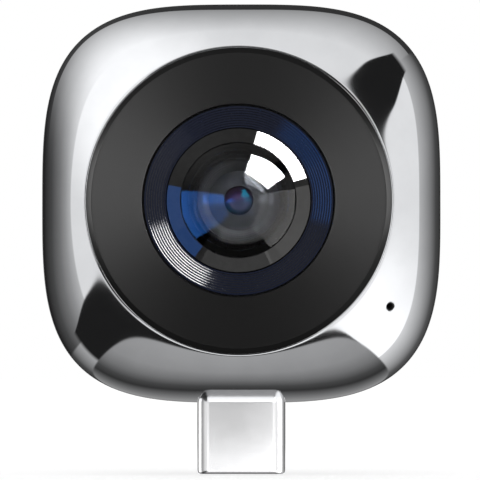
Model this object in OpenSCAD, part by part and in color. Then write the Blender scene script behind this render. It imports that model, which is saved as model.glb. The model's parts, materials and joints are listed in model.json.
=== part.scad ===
// Pocket camera that sees all round: two wide lenses back to back in a rounded-square mirror-finished
// body, on a flat plug that carries it on a phone. Millimetres. The origin is the middle of the plug's tip,
// +Z is up, the front lens looks along -Y and +X is to its right as the photographer sees it.

/* [Body] */
// Width and height of the body across its flats
body_w = 37.3; // [36.5:0.1:42]
// Squareness of the outline: 2 is a circle, higher is squarer
body_n = 3.4; // [3:0.1:5]
// Half of the body's thickness at the rim around each lens plate
rim_h = 8.5; // [8.2:0.1:10]
// Fullness of the shell's curve from rim to seam: 2 is an ellipse
shell_full = 2.2; // [2:0.05:3]
// Wall of each shell
shell_wall = 1.2; // [1:0.05:1.5]
// Bevel on each shell's edge at the seam
seam_bevel = 0.12; // [0.05:0.01:0.25]
// Reach of the front shell's lip into the rear shell
lip_len = 0.7; // [0.4:0.1:1.2]
// Gap between that lip and the step that takes it
lip_gap = 0.08; // [0.05:0.01:0.15]
// Thickness of the flange inside each shell that the plate is stuck to
flange_t = 1.2; // [1:0.1:1.5]
// Depth of that flange below the rim
flange_drop = 0.9; // [0.7:0.05:1.1]
// Reach of that flange under the rim, past the opening for the plate
flange_lap = 0.5; // [0.3:0.05:0.8]

/* [Lens plate] */
// Outer radius of the plate
plate_r = 14.1; // [13.6:0.1:14.6]
// Gap around the plate in its opening
plate_gap = 0.08; // [0.05:0.01:0.15]
// Wall of the plate
plate_wall = 0.8; // [0.6:0.05:0.9]
// Height of the plate's straight edge above the rim
plate_proud = 0.1; // [0.05:0.05:0.3]
// Width of the bevel around the plate
plate_bevel = 0.5; // [0.3:0.05:0.7]
// Height of that bevel
plate_bevel_h = 0.4; // [0.3:0.05:0.6]
// Height of the plate's inner edge above the rim
plate_rise = 1.2; // [1:0.05:1.6]
// Depth of the lip around the plate's hole
plate_lip = 1.3; // [1:0.05:1.35]
// Width of the foot that stands on the adhesive ring
plate_foot = 0.7; // [0.5:0.05:0.9]
// Thickness of the adhesive ring
tape_t = 0.15; // [0.1:0.05:0.3]

/* [Groove ring] */
// Outer radius of the groove ring
groove_ring_r = 8.7; // [8.4:0.05:9]
// Number of grooves
groove_count = 11; // [6:1:14]
// Slope of the groove faces that look at the lens, in degrees
groove_slope = 35; // [20:1:45]
// Gap between the groove ring and the plate
groove_gap = 0.15; // [0.1:0.05:0.3]
// Depth of the groove bottoms below the plate's inner edge
groove_drop = 0.45; // [0.35:0.05:0.6]
// Thickness of the ring under the grooves
groove_t = 0.9; // [0.6:0.05:1]

/* [Front lens] */
// Outer radius of the retaining ring and of the barrel's head
retainer_r = 6.6; // [6.3:0.05:6.9]
// Height of the retaining ring's straight edge
retainer_edge = 0.1; // [0.05:0.05:0.2]
// Width of the retaining ring around the part of the dome that shows
retainer_w = 1.35; // [1.2:0.05:1.5]
// Height of the dome's edge above the foot of the retaining ring
retainer_set = 0.2; // [0.15:0.05:0.3]
// Width of the dome's edge under the retaining ring
dome_lap = 0.35; // [0.25:0.05:0.45]
// Thickness of the dome at its edge
dome_edge_t = 0.55; // [0.45:0.05:0.7]
// Rise of the dome above its edge
dome_rise = 3.54; // [2.6:0.02:3.7]
// Radius of the hollow inside the dome
dome_bowl = 4.2; // [3.8:0.05:4.4]
// Thickness of the dome at its middle
dome_t = 1; // [0.8:0.05:1.4]
// Height of the dome's seat above the rim
dome_lift = 0.6; // [0.5:0.05:0.8]

/* [Inner lenses] */
// Radius of the second lens
second_r = 2.45; // [2.3:0.05:2.6]
// Radius of its outer curve
second_curve = 2.8; // [2.7:0.05:3.4]
// Radius of its hollow
second_bowl = 1.8; // [1.6:0.05:2]
// Thickness of the second lens at its middle
second_t = 0.7; // [0.5:0.05:0.9]
// Thickness of each inner lens at its edge
lens_edge_t = 0.5; // [0.4:0.05:0.6]
// Radius of the third lens
third_r = 1.85; // [1.7:0.05:2]
// Radius of its outer curve
third_curve = 3; // [2.9:0.05:4]
// Radius of the stop that limits the light
stop_r = 1.2; // [0.8:0.05:1.4]
// Thickness of the stop
stop_t = 0.4; // [0.3:0.05:0.6]
// Radius of the rear lens
rear_r = 2.35; // [2.1:0.05:2.5]
// Radius of its outer curve
rear_curve = 6; // [5:0.1:9]

/* [Barrel and holder] */
// Depth of the barrel's head below the dome's seat
head_depth = 2; // [1.8:0.05:2.2]
// Radius of the barrel's threaded part
thread_r = 3.95; // [3.6:0.05:4.2]
// Gap between the barrel and the infrared filter
focus_gap = 0.5; // [0.4:0.05:0.6]
// Outer radius of the lens holder
holder_r = 8.6; // [8.2:0.05:8.7]
// Side of the square hollow over the sensor
sensor_hollow = 9.2; // [8.6:0.1:9.6]
// Room in that hollow above the infrared filter
sensor_room = 0.3; // [0.2:0.05:0.4]
// Thickness of the holder's ears
ear_t = 1.2; // [0.9:0.1:1.6]
// Radius of the holder's ears
ear_r = 1.3; // [1.1:0.05:1.5]

/* [Boards] */
// Half of the frame's thickness, which sets the height of the sensor boards
frame_h = 2.4; // [2.3:0.05:2.6]
// Thickness of a sensor board
sensor_board_t = 0.6; // [0.4:0.05:0.7]
// Side of the image sensor
sensor_w = 7.6; // [7:0.1:8.2]
// Thickness of the image sensor
sensor_t = 0.9; // [0.7:0.05:1]
// Side of the infrared filter
filter_w = 6.6; // [6:0.1:7]
// Thickness of the infrared filter
filter_t = 0.3; // [0.2:0.05:0.35]
// Thickness of the main board
board_t = 0.8; // [0.6:0.05:1]
// Width of the connectors that join the sensor boards to the main board
link_w = 7; // [5:0.5:9]
// Depth of those connectors
link_d = 2.2; // [1.6:0.1:2.4]
// Gap between the front connector and the shield can
link_gap = 0.6; // [0.4:0.05:0.8]
// Side of the processor
processor_w = 8; // [6:0.5:8.5]
// Height of the processor
processor_t = 1; // [0.7:0.05:1.1]
// Side of the shield can over the processor
can_w = 10; // [9.5:0.1:11]
// Height of the shield can
can_h = 1.6; // [1.45:0.05:1.7]
// Wall of the shield can
can_wall = 0.15; // [0.1:0.05:0.25]
// Distance of the processor and its can below the lens axis
processor_drop = 1; // [0.8:0.1:1.5]
// Width of the memory chip
memory_w = 6.5; // [5:0.5:7]
// Depth of the memory chip
memory_d = 8; // [6:0.5:8.5]
// Height of the memory chip
memory_t = 0.9; // [0.7:0.05:1.1]
// Side of the power chip
power_w = 3.5; // [3:0.1:4]
// Height of the power chip
power_t = 0.8; // [0.6:0.05:1]
// Width of the crystal
crystal_w = 2.5; // [2:0.1:3]
// Depth of the crystal
crystal_d = 2; // [1.6:0.1:2.4]
// Height of the crystal
crystal_t = 0.6; // [0.5:0.05:0.8]
// Number of small passive parts on each face of the main board
passive_count = 7; // [3:1:7]
// Length of a passive part
passive_l = 1; // [0.8:0.1:1.2]
// Width and height of a passive part
passive_w = 0.5; // [0.4:0.05:0.6]
// Distance between passive parts
passive_pitch = 1.6; // [1.4:0.05:1.7]

/* [Frame and screws] */
// Gap between the frame and the inside of the shells
frame_gap = 0.5; // [0.4:0.05:0.7]
// Width of the frame's ring
frame_ring = 1.6; // [1.4:0.05:1.8]
// Radius of the pillars that take the shell screws
pillar_r = 1.7; // [1.5:0.05:1.8]
// Width of the webs between the pillars and the ring
web_w = 1.6; // [1.2:0.1:2]
// Width of the blocks that take the lens screws
block_w = 3.2; // [2.8:0.1:3.6]
// Reach of those blocks past the holder's ears, towards the lens axis
block_lap = 0.3; // [0.2:0.05:0.4]
// Gap between the lens holder's wall and the round of an ear
ear_gap = 0.1; // [0.05:0.05:0.2]
// Width of the tabs that take the board screws
tab_w = 3.2; // [2.6:0.1:3.6]
// Thickness of those tabs
tab_t = 1.2; // [1:0.1:1.4]
// Distance of the board screws from the body's middle line
tab_x = 5.2; // [4.6:0.1:5.6]
// Gap around the main board
board_gap = 0.4; // [0.3:0.05:0.5]
// Head radius of the shell screws
shell_head_r = 1; // [0.9:0.05:1.1]
// Head height of the shell screws
shell_head_h = 0.7; // [0.5:0.05:0.75]
// Shank radius of the shell screws
shell_shank_r = 0.65; // [0.5:0.05:0.7]
// Shank length of the shell screws
shell_screw_l = 4; // [3:0.1:4.5]
// Depth of the recess for a shell screw's head
head_recess = 0.4; // [0.3:0.05:0.5]
// Head radius of the lens and board screws
small_head_r = 0.9; // [0.8:0.05:1]
// Head height of the lens and board screws
small_head_h = 0.5; // [0.4:0.05:0.6]
// Shank radius of the lens and board screws
small_shank_r = 0.5; // [0.4:0.05:0.55]
// Reach of the lens screws into the frame
lens_screw_grip = 1.8; // [1.4:0.1:2]
// Reach of the board screws into the tabs
board_screw_grip = 1; // [0.8:0.05:1]
// Clearance between a shank and its hole
screw_fit = 0.05; // [0.04:0.01:0.1]
// Room around a shell screw's head and its pillar
screw_room = 0.2; // [0.15:0.05:0.3]

/* [Microphone] */
// Direction of the microphone hole from the lens axis, in degrees
mic_a = -35; // [-37:0.5:-33]
// Distance of the hole from the opening for the plate
mic_out = 2.82; // [2.6:0.02:3.2]
// Radius of the hole
mic_hole_r = 0.38; // [0.25:0.01:0.5]
// Radius of the mesh behind the hole
mesh_r = 0.9; // [0.7:0.05:1]
// Gap between the shell's wall and the mesh
mesh_gap = 0.3; // [0.25:0.05:0.4]
// Thickness of the mesh
mesh_t = 0.1; // [0.08:0.01:0.15]
// Radius of the rubber boot behind the mesh
boot_r = 1.2; // [1.1:0.05:1.3]
// Thickness of the boot
boot_t = 0.8; // [0.6:0.05:1]
// Length of the microphone
mic_l = 2.6; // [2.4:0.1:2.8]
// Width of the microphone
mic_w = 1.9; // [1.7:0.1:2.1]
// Height of the microphone
mic_t = 0.9; // [0.8:0.05:1]
// Width of the microphone's flex cable
flex_w = 1.6; // [1.2:0.1:1.8]
// Thickness of the flex cable
flex_t = 0.12; // [0.1:0.01:0.2]
// Distance of the cable's connector beside the lens axis
flex_end_x = 12.2; // [11.8:0.1:12.6]
// Distance of the connector below the lens axis
flex_end_y = 4.6; // [4.4:0.1:5]
// Length of the connector
flex_end_l = 2.6; // [2.2:0.1:2.8]
// Width of the connector
flex_end_w = 1.8; // [1.4:0.1:2]
// Height of the connector
flex_end_t = 0.7; // [0.5:0.05:0.9]

/* [Plug] */
// Length of the plug that shows below the body
plug_len = 6.65; // [6.2:0.05:7.5]
// Width of the plug
plug_w = 8.25; // [8.2:0.01:8.3]
// Thickness of the plug
plug_t = 2.4; // [2.36:0.01:2.44]
// Wall of the plug's shell
plug_wall = 0.3; // [0.28:0.01:0.32]
// Width of the slope around the plug's tip
tip_slope = 0.2; // [0.12:0.01:0.22]
// Length of that slope
tip_len = 0.4; // [0.3:0.05:0.6]
// Gap around the plug where it passes through the shells
plug_gap = 0.08; // [0.05:0.01:0.15]
// Gap between fixed pieces that slide into each other
fit = 0.03; // [0.02:0.01:0.05]
// Depth of the insulator behind the plug's tip
insulator_set = 0.25; // [0.15:0.05:0.4]
// Width of the slot for the phone's tongue
tongue_w = 6.9; // [6.85:0.01:7]
// Height of that slot
tongue_h = 1.1; // [1.06:0.01:1.14]
// Depth of that slot
tongue_depth = 5.8; // [5.6:0.05:6]
// Number of contacts in a row
contact_count = 12; // [8:1:12]
// Distance between contacts
contact_pitch = 0.5; // [0.48:0.01:0.52]
// Width of a contact
contact_w = 0.24; // [0.2:0.01:0.26]
// Thickness of a contact
contact_t = 0.15; // [0.12:0.01:0.16]
// Distance of a contact's inner face from the plug's middle plane
contact_y = 0.33; // [0.31:0.01:0.35]
// Distance of the contact tips behind the plug's tip
contact_tip = 1.2; // [1.1:0.05:1.5]
// Height of the bump at a contact's tip
bump_h = 0.06; // [0.04:0.01:0.08]
// Length of that bump
bump_l = 0.6; // [0.4:0.05:0.8]
// Room on each side of a contact in its slot
slot_gap = 0.04; // [0.03:0.005:0.05]
// Gap between a spring and the fixed metal it grows from
root_gap = 0.05; // [0.04:0.01:0.08]
// Length of the contact tails along the main board
tail_grip = 1.7; // [1.4:0.1:2]
// Thickness of a latch arm
latch_t = 0.2; // [0.16:0.01:0.22]
// Width of a latch arm
latch_w = 0.7; // [0.6:0.05:0.74]
// Reach of a latch arm's inner face into the tongue's slot
latch_proud = 0.09; // [0.07:0.01:0.12]
// Distance of the latch tips behind the plug's tip
latch_tip = 1.1; // [1:0.05:1.4]
// Height of the hook at a latch arm's tip
hook_h = 0.16; // [0.1:0.01:0.2]
// Length of that hook
hook_l = 0.7; // [0.5:0.05:0.9]
// Length of the latch plate behind the arms
latch_plate_l = 2.4; // [2:0.05:2.8]
// Width of the bar across the latch plate
latch_bar_w = 0.8; // [0.6:0.05:1]
// Thickness of that bar
latch_bar_t = 0.2; // [0.15:0.01:0.24]

/* [Hidden] */
$fn = 96;
// Steps around a shell, and along its outer and inner curves
shell_steps = 96;
outer_steps = 11;
inner_steps = 5;
// Overshoot of a cutter past the face it cuts
over = 1;
// Share of a groove's width that stays flat outside the last groove
groove_flat = 0.5;
// Share of the slope at the plug's tip that is left at its knee
tip_knee = 1 / 3;

// Heights along a lens axis, counted from the seam, and the dome's radii
seat_h = rim_h - flange_drop;
flange_bot = seat_h - flange_t;
foot_h = seat_h + tape_t;
plate_edge_h = rim_h + plate_proud;
plate_shoulder_h = plate_edge_h + plate_bevel_h;
plate_top_h = rim_h + plate_rise;
plate_lip_h = plate_top_h - plate_lip;
groove_h = plate_top_h - groove_drop;
holder_top = groove_h - groove_t;
dome_seat_h = rim_h + dome_lift;
dome_rim_h = dome_seat_h + dome_edge_t;
dome_apex = dome_rim_h + dome_rise;
dome_show_r = retainer_r - retainer_w;
dome_edge_r = dome_show_r + dome_lap;
dome_curve = (pow(dome_edge_r, 2) + pow(dome_rise, 2)) / (2 * dome_rise);
dome_c = dome_apex - dome_curve;
bowl_c = dome_apex - dome_t - dome_bowl;
bowl_r = sqrt(pow(dome_bowl, 2) - pow(dome_seat_h - bowl_c, 2));
head_top = dome_rim_h - retainer_set;
head_bot = dome_seat_h - head_depth;
board_top = frame_h + sensor_board_t;
sensor_top = board_top + sensor_t;
filter_top = sensor_top + filter_t;
barrel_bot = filter_top + focus_gap;
rear_seat_h = barrel_bot + 2 * lens_edge_t;
third_seat_h = rear_seat_h + stop_t;
third_c = third_seat_h + lens_edge_t - sqrt(pow(third_curve, 2) - pow(third_r, 2));
second_seat_h = third_c + third_curve + root_gap;
second_edge_h = second_seat_h + lens_edge_t;
second_c = second_edge_h - sqrt(pow(second_curve, 2) - pow(second_r, 2));
second_bowl_c = second_c + second_curve - second_t - second_bowl;
board_h = board_t / 2;
link_y = can_w / 2 - processor_drop + link_gap + link_d / 2;

// Radii around a lens axis
open_r = plate_r + plate_gap;
plate_hole_r = groove_ring_r + groove_gap;
groove_in_r = retainer_r + fit;
groove_pitch = (groove_ring_r - groove_in_r) / (groove_count + groove_flat);
groove_rise = groove_pitch * tan(groove_slope);
retainer_top_h = dome_c + sqrt(pow(dome_curve, 2) - pow(dome_show_r, 2));
screw_r = plate_r - plate_foot - shell_head_r - screw_room;
flange_in_r = screw_r - pillar_r - screw_room;
ear_x = holder_r + ear_r + ear_gap;
block_in = ear_x - ear_r - block_lap;

// Places up the body
body_z = plug_len + body_w / 2;
frame_out = shell_wall + frame_gap;
frame_in = frame_out + frame_ring;
board_in = frame_in + board_gap;
plug_end = body_z - body_w / 2 + frame_in;
board_low = body_z - body_w / 2 + board_in;
block_out = body_w / 2 - frame_in + frame_ring / 2;
tab_y = body_w / 2 - frame_in - 2 * small_head_r;

// Curve of a shell between its rim and the seam
curve_k = 2 / shell_full;
mic_reach = open_r + mic_out;
mic_u = mic_out / (outline(mic_a) - open_r);
mic_t_angle = asin(pow(mic_u, 1 / curve_k));
mic_h = rim_h * pow(cos(mic_t_angle), curve_k);
mic_slope = rim_h / (outline(mic_a) - open_r) * pow(tan(mic_t_angle), 2 - curve_k);
mic_tilt = atan(mic_slope);
mic_normal = [sin(mic_tilt) * cos(mic_a), sin(mic_tilt) * sin(mic_a), cos(mic_tilt)];
mic_across = [cos(mic_tilt) * cos(mic_a), cos(mic_tilt) * sin(mic_a), -sin(mic_tilt)];
mic_along = [-sin(mic_a), cos(mic_a), 0];
mic_spot = [mic_reach * cos(mic_a), mic_reach * sin(mic_a), mic_h];
mesh_set = shell_wall + mesh_gap;

// Places inside the plug
plug_half = plug_w / 2 - plug_t / 2;
spring_root = tongue_depth - 2 * root_gap;
slot_y = board_h;
contact_left = -contact_pitch * (contact_count - 1) / 2 - contact_w / 2;
latch_x = tongue_w / 2 - latch_proud;

// Distance of the body's outline from the lens axis, in direction a
function outline(a) = body_w / 2 * pow(pow(abs(cos(a)), body_n) + pow(abs(sin(a)), body_n), -1 / body_n);

// Angle along the shell's curve at which it is a given share of its full height
function curve_at(share) = acos(pow(share, 1 / curve_k));

// Point of a shell's curve: radius and height, for a wall set in from the outline
function curve_point(a, t, inset) = [
    open_r + (outline(a) - inset - open_r) * pow(sin(t), curve_k),
    (rim_h - inset) * pow(cos(t), curve_k)
];

// Outer curve of a shell in direction a, from the rim to the seam's bevel
function outer_curve(a) = concat(
    [for (i = [0 : outer_steps]) curve_point(a, curve_at(seam_bevel / rim_h) * i / outer_steps, 0)],
    [[outline(a) - seam_bevel, 0]]
);

// Angle along the inner curve in direction a where it meets the flange
function flange_at(a) = asin(pow(flange_lap / (outline(a) - shell_wall - open_r), 1 / curve_k));

// Inner curve of a shell in direction a, from a height near the seam up to the flange
function inner_curve(a, low) = [
    for (i = [0 : inner_steps])
        let (start = curve_at(low / (rim_h - shell_wall)))
            curve_point(a, start + (flange_at(a) - start) * i / inner_steps, shell_wall)
];

// Flange that carries the plate
flange_edge = [
    [open_r + flange_lap, flange_bot],
    [flange_in_r, flange_bot],
    [flange_in_r, seat_h],
    [open_r, seat_h]
];

// Section of the front shell, with the lip that reaches into the rear shell
function front_section(a) = concat(
    outer_curve(a),
    [
        [outline(a) - shell_wall / 2 - lip_gap, 0],
        [outline(a) - shell_wall / 2 - lip_gap, -lip_len],
        [outline(a) - shell_wall, -lip_len]
    ],
    inner_curve(a, 0),
    flange_edge
);

// Section of the rear shell, with the step that takes the lip
function rear_section(a) = concat(
    outer_curve(a),
    [
        [outline(a) - shell_wall / 2, 0],
        [outline(a) - shell_wall / 2, lip_len + lip_gap]
    ],
    inner_curve(a, lip_len + lip_gap),
    flange_edge
);

// Closed ring through sections that are spread evenly around the lens axis
module section_ring(sections) {
    n = len(sections);
    m = len(sections[0]);
    points = [
        for (i = [0 : n - 1], p = sections[i])
            [p[0] * cos(360 * i / n), p[0] * sin(360 * i / n), p[1]]
    ];
    faces = [
        for (i = [0 : n - 1], j = [0 : m - 1], k = [0, 1])
            let (a = i * m, b = (i + 1) % n * m, q = (j + 1) % m)
                k == 0 ? [a + j, b + j, b + q] : [a + j, b + q, a + q]
    ];
    polyhedron(points, faces);
}

// Frame of one lens: z runs out of the camera from the seam, y is up
module lens_frame(side) {
    translate([0, 0, body_z])
        rotate([90, 0, side == "front" ? 0 : 180])
            children();
}

// Copies at the four shell screws
module at_shell_screws() {
    for (a = [45 : 90 : 315])
        rotate([0, 0, a])
            translate([screw_r, 0, 0])
                children();
}

// Copies at the two ears of a lens holder
module at_ears() {
    for (x = [-ear_x, ear_x])
        translate([x, 0, 0])
            children();
}

// Block that stands on height z, middle at x, y
module block(x, y, z, size) {
    translate([x - size[0] / 2, y - size[1] / 2, z])
        cube(size);
}

// Screw with its head resting on z = 0 and its shank below
module screw(head_r, head_h, shank_r, length) {
    cylinder(r = head_r, h = head_h);
    translate([0, 0, -length])
        cylinder(r = shank_r, h = length);
}

// Flat outline with round ends, as wide and thick as the plug, grown by a gap
module plug_outline(gap) {
    for (x = [-plug_half, plug_half])
        translate([x, 0])
            circle(r = plug_t / 2 + gap);
    square([2 * plug_half, plug_t + 2 * gap], center = true);
}

// Prism of that outline between two heights
module plug_prism(gap, low, high) {
    translate([0, 0, low])
        linear_extrude(high - low)
            plug_outline(gap);
}

// Frame of the microphone: its origin on the front shell's face, z out of the shell
module mic_frame() {
    lens_frame("front")
        rotate([0, 0, mic_a])
            translate([mic_reach, 0, mic_h])
                rotate([0, mic_tilt, 0])
                    children();
}

// Holes through a shell's flange, with recesses for the heads
module flange_holes() {
    at_shell_screws() {
        translate([0, 0, flange_bot - over])
            cylinder(r = shell_shank_r + screw_fit, h = flange_t + 2 * over);
        translate([0, 0, seat_h - head_recess])
            cylinder(r = shell_head_r + screw_fit, h = head_recess + over);
    }
}

module front_shell() {
    color("silver")
        difference() {
            lens_frame("front")
                difference() {
                    section_ring([for (i = [0 : shell_steps - 1]) front_section(360 * i / shell_steps)]);
                    flange_holes();
                }
            plug_prism(plug_gap, 0, plug_end);
            mic_frame()
                translate([0, 0, -2 * shell_wall])
                    cylinder(r = mic_hole_r, h = 4 * shell_wall);
        }
}

module rear_shell() {
    color("silver")
        difference() {
            lens_frame("rear")
                difference() {
                    section_ring([for (i = [0 : shell_steps - 1]) rear_section(360 * i / shell_steps)]);
                    flange_holes();
                }
            plug_prism(plug_gap, 0, plug_end);
        }
}

module lens_plate(side) {
    color("#2b2b2d")
        lens_frame(side)
            rotate_extrude()
                polygon([
                    [plate_r, foot_h],
                    [plate_r, plate_edge_h],
                    [plate_r - plate_bevel, plate_shoulder_h],
                    [plate_hole_r, plate_top_h],
                    [plate_hole_r, plate_lip_h],
                    [plate_hole_r + plate_wall, plate_lip_h],
                    [plate_hole_r + plate_wall, plate_top_h - plate_wall],
                    [plate_r - plate_foot, plate_shoulder_h - plate_wall],
                    [plate_r - plate_foot, foot_h]
                ]);
}

module plate_tape(side) {
    color("dimgray")
        lens_frame(side)
            translate([0, 0, seat_h])
                difference() {
                    cylinder(r = plate_r, h = tape_t);
                    translate([0, 0, -over])
                        cylinder(r = plate_r - plate_foot, h = tape_t + 2 * over);
                }
}

module shell_screws(side) {
    color("gray")
        lens_frame(side)
            at_shell_screws()
                translate([0, 0, seat_h - head_recess])
                    screw(shell_head_r, shell_head_h, shell_shank_r, shell_screw_l);
}

// Teeth rise away from the lens and drop straight back
module groove_ring(side) {
    color("#1c1d20")
        lens_frame(side)
            rotate_extrude()
                polygon(concat(
                    [[groove_in_r, holder_top], [groove_ring_r, holder_top], [groove_ring_r, groove_h]],
                    [
                        for (i = [groove_count : -1 : 1], tip = [1, 0])
                            [groove_in_r + (i - 1 + tip) * groove_pitch, groove_h + tip * groove_rise]
                    ]
                ));
}

module retaining_ring(side) {
    color("#151517")
        lens_frame(side)
            rotate_extrude()
                difference() {
                    polygon([
                        [dome_show_r, head_top],
                        [retainer_r, head_top],
                        [retainer_r, head_top + retainer_edge],
                        [dome_show_r, retainer_top_h]
                    ]);
                    translate([0, dome_c])
                        circle(r = dome_curve + 2 * fit);
                }
}

module dome_lens(side) {
    color("#26344f")
        lens_frame(side)
            rotate_extrude()
                intersection() {
                    difference() {
                        translate([0, dome_c])
                            circle(r = dome_curve);
                        translate([0, bowl_c])
                            circle(r = dome_bowl);
                    }
                    translate([0, dome_seat_h])
                        square([dome_edge_r, dome_curve + over]);
                }
}

module second_lens(side) {
    color("#31435f")
        lens_frame(side)
            rotate_extrude()
                intersection() {
                    difference() {
                        translate([0, second_c])
                            circle(r = second_curve);
                        translate([0, second_bowl_c])
                            circle(r = second_bowl);
                    }
                    translate([0, second_seat_h])
                        square([second_r, second_curve + over]);
                }
}

module third_lens(side) {
    color("#31435f")
        lens_frame(side)
            rotate_extrude()
                intersection() {
                    translate([0, third_c])
                        circle(r = third_curve);
                    translate([0, third_seat_h])
                        square([third_r, third_curve]);
                }
}

module rear_lens(side) {
    color("#31435f")
        lens_frame(side)
            rotate_extrude()
                intersection() {
                    translate([0, rear_seat_h - lens_edge_t + sqrt(pow(rear_curve, 2) - pow(rear_r, 2))])
                        circle(r = rear_curve);
                    translate([0, rear_seat_h - rear_curve])
                        square([rear_r, rear_curve]);
                }
}

// Stepped bore: cup for the dome, cone, then seats for the inner lenses and the stop
module barrel(side) {
    color("#1a1a1c")
        lens_frame(side)
            rotate_extrude()
                polygon([
                    [rear_r + fit, barrel_bot],
                    [thread_r, barrel_bot],
                    [thread_r, head_bot],
                    [retainer_r, head_bot],
                    [retainer_r, head_top],
                    [dome_edge_r + fit, head_top],
                    [dome_edge_r + fit, dome_seat_h],
                    [bowl_r, dome_seat_h],
                    [second_r + fit, second_edge_h],
                    [second_r + fit, second_seat_h],
                    [third_r + fit, second_seat_h],
                    [third_r + fit, third_seat_h],
                    [stop_r, third_seat_h],
                    [stop_r, rear_seat_h],
                    [rear_r + fit, rear_seat_h]
                ]);
}

module lens_holder(side) {
    color("#242426")
        lens_frame(side)
            difference() {
                union() {
                    translate([0, 0, board_top])
                        cylinder(r = holder_r, h = holder_top - board_top);
                    block(0, 0, board_top, [2 * ear_x, 2 * ear_r, ear_t]);
                    at_ears()
                        translate([0, 0, board_top])
                            cylinder(r = ear_r, h = ear_t);
                }
                translate([0, 0, head_bot])
                    cylinder(r = retainer_r + fit, h = holder_top);
                translate([0, 0, board_top])
                    cylinder(r = thread_r + fit, h = holder_top);
                block(
                    0, 0, board_top - over,
                    [sensor_hollow, sensor_hollow, filter_top + sensor_room - board_top + over]
                );
                at_ears()
                    translate([0, 0, board_top - over])
                        cylinder(r = small_shank_r + screw_fit, h = ear_t + 2 * over);
            }
}

module lens_screws(side) {
    color("gray")
        lens_frame(side)
            at_ears()
                translate([0, 0, board_top + ear_t])
                    screw(
                        small_head_r, small_head_h, small_shank_r, ear_t + sensor_board_t + lens_screw_grip
                    );
}

module infrared_filter(side) {
    color("#7d9db0")
        lens_frame(side)
            block(0, 0, sensor_top, [filter_w, filter_w, filter_t]);
}

module image_sensor(side) {
    color("#3c4246")
        lens_frame(side)
            block(0, 0, board_top, [sensor_w, sensor_w, sensor_t]);
}

module sensor_board(side) {
    color("darkgreen")
        lens_frame(side)
            translate([0, 0, frame_h])
                linear_extrude(sensor_board_t)
                    difference() {
                        union() {
                            circle(r = holder_r);
                            square([2 * ear_x, 2 * ear_r], center = true);
                            at_ears()
                                circle(r = ear_r);
                        }
                        at_ears()
                            circle(r = small_shank_r + screw_fit);
                    }
}

module board_link(side) {
    color("#202020")
        lens_frame(side)
            block(0, link_y, board_h, [link_w, link_d, frame_h - board_h]);
}

// Body's outline, set in by a distance
module inset_outline(inset) {
    polygon([
        for (i = [0 : shell_steps - 1])
            let (a = 360 * i / shell_steps)
                [(outline(a) - inset) * cos(a), (outline(a) - inset) * sin(a)]
    ]);
}

// Pillars and webs of the frame, seen from the front and grown by a gap
module pillar_outline(gap) {
    for (a = [45 : 90 : 315])
        rotate([0, 0, a]) {
            translate([screw_r, 0])
                circle(r = pillar_r + gap);
            translate([screw_r, -web_w / 2 - gap])
                square([outline(45) - frame_in + frame_ring / 2 - screw_r, web_w + 2 * gap]);
        }
}

// Blocks that take the lens screws, seen from the front and grown by a gap
module block_outline(gap) {
    for (x = [-1, 1])
        translate([x * (block_in + block_out) / 2, 0])
            square([block_out - block_in + 2 * gap, block_w + 2 * gap], center = true);
}

module mid_frame() {
    color("#9a9ea3")
        difference() {
            lens_frame("front")
                difference() {
                    union() {
                        translate([0, 0, -frame_h])
                            linear_extrude(2 * frame_h)
                                difference() {
                                    inset_outline(frame_out);
                                    inset_outline(frame_in);
                                }
                        translate([0, 0, -frame_h])
                            linear_extrude(2 * frame_h) {
                                pillar_outline(0);
                                block_outline(0);
                            }
                        at_shell_screws()
                            translate([0, 0, -flange_bot])
                                cylinder(r = pillar_r, h = 2 * flange_bot);
                        for (x = [-tab_x, tab_x])
                            translate([x - tab_w / 2, tab_y - tab_w / 2, -board_h - tab_t])
                                cube([tab_w, block_out - tab_y + tab_w / 2, tab_t]);
                    }
                    at_shell_screws()
                        for (s = [0, 180])
                            rotate([s, 0, 0])
                                translate([0, 0, seat_h - head_recess - shell_screw_l - screw_fit])
                                    cylinder(r = shell_shank_r + screw_fit, h = shell_screw_l + over);
                    at_ears()
                        for (s = [0, 180])
                            rotate([s, 0, 0])
                                translate([0, 0, frame_h - lens_screw_grip - screw_fit])
                                    cylinder(r = small_shank_r + screw_fit, h = lens_screw_grip + over);
                    for (x = [-tab_x, tab_x])
                        translate([x, tab_y, -board_h - tab_t - over])
                            cylinder(r = small_shank_r + screw_fit, h = tab_t + 2 * over);
                }
            plug_prism(fit, 0, plug_end + over);
        }
}

module main_board() {
    color("darkgreen")
        lens_frame("front")
            translate([0, 0, -board_h])
                linear_extrude(board_t)
                    difference() {
                        inset_outline(board_in);
                        pillar_outline(board_gap);
                        block_outline(board_gap);
                        for (x = [-tab_x, tab_x])
                            translate([x, tab_y])
                                circle(r = small_shank_r + screw_fit);
                    }
}

module board_screws() {
    color("gray")
        lens_frame("front")
            for (x = [-tab_x, tab_x])
                translate([x, tab_y, board_h])
                    screw(small_head_r, small_head_h, small_shank_r, board_t + board_screw_grip);
}

module processor() {
    color("#2a2a2a")
        lens_frame("front")
            block(0, -processor_drop, board_h, [processor_w, processor_w, processor_t]);
}

module shield_can() {
    color("lightgray")
        lens_frame("front")
            difference() {
                block(0, -processor_drop, board_h, [can_w, can_w, can_h]);
                block(
                    0, -processor_drop, board_h - over,
                    [can_w - 2 * can_wall, can_w - 2 * can_wall, can_h - can_wall + over]
                );
            }
}

module memory_chip() {
    color("#2a2a2a")
        lens_frame("rear")
            block(memory_w / 2, -processor_drop, board_h, [memory_w, memory_d, memory_t]);
}

module power_chip() {
    color("#303030")
        lens_frame("rear")
            block(-power_w, -power_w / 2 - processor_drop, board_h, [power_w, power_w, power_t]);
}

module crystal() {
    color("silver")
        lens_frame("rear")
            block(-power_w, crystal_d, board_h, [crystal_w, crystal_d, crystal_t]);
}

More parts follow.
